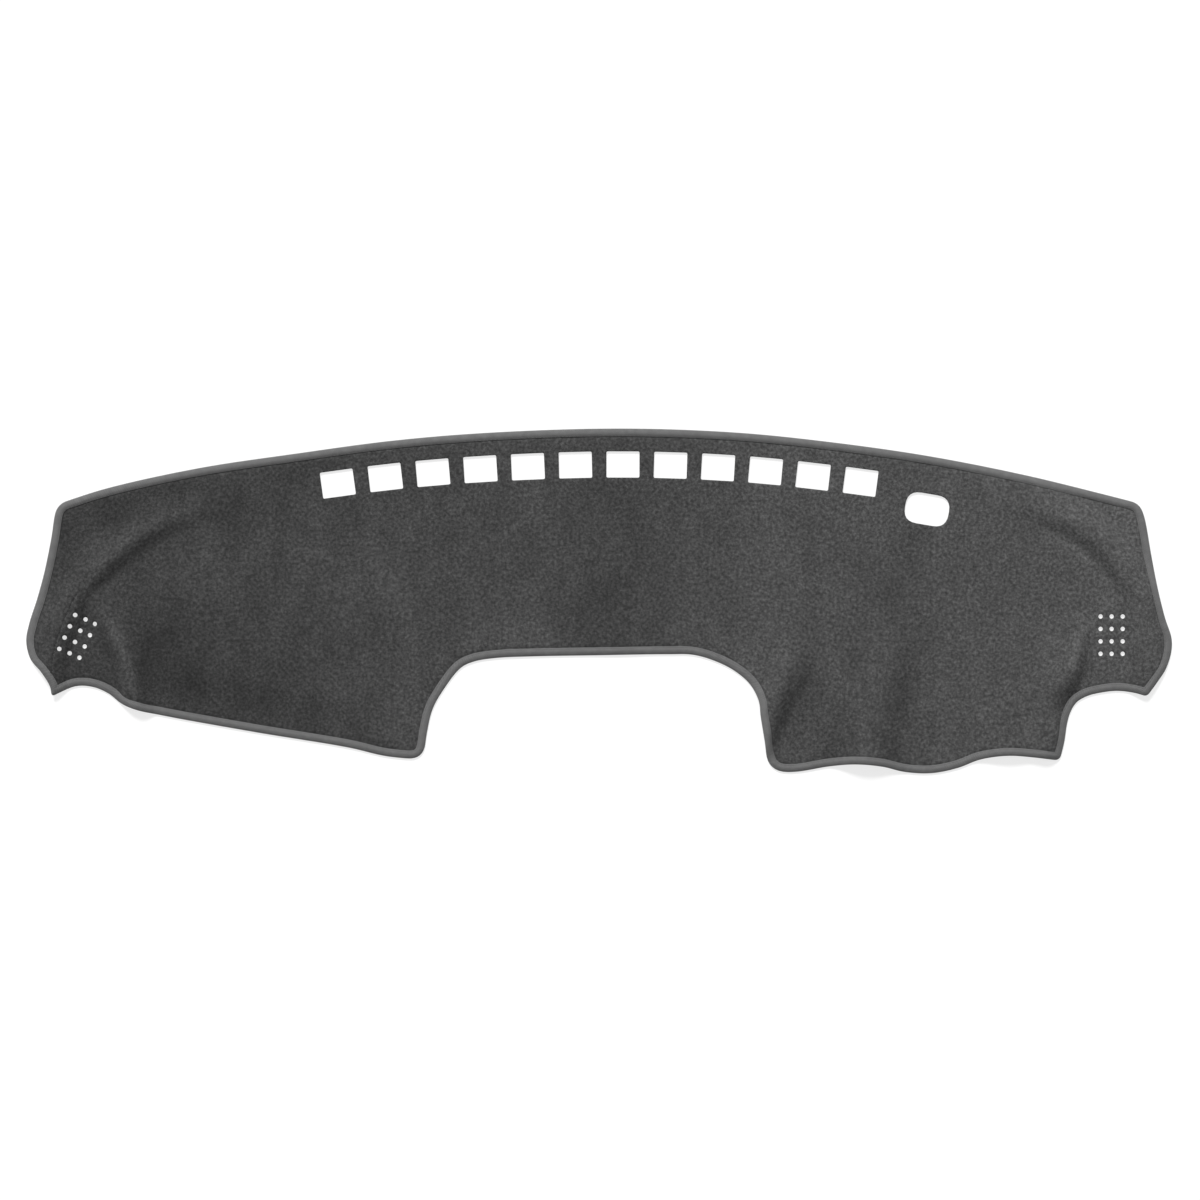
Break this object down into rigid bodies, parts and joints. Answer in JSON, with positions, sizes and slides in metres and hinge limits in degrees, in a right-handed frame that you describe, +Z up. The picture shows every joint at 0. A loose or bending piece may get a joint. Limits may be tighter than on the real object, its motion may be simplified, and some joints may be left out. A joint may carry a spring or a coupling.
{
  "type": "dashboard cover mat",
  "caption": "Grey carpet cover mat for a car dashboard, with a bound edge, demister windows, a sensor window, two blocks of punched holes and a cut-out for the instrument hood.",
  "frame": {"origin": "on the floor under the middle of the mat's bounding box", "axes": "+X along the mat, to the right as the driver sees it; +Y towards the windscreen edge; +Z up, out of the pile"},
  "size_m": [1.4005, 0.4213, 0.0182],
  "materials": {
    "carpet": "matt needle-felt carpet pile, mottled grey",
    "binding_tape": "woven twill tape, mid grey"
  },
  "bodies": {
    "root": {"carpet_panel": "carpet", "edge_binding": "binding_tape"}
  },
  "joints": []
}
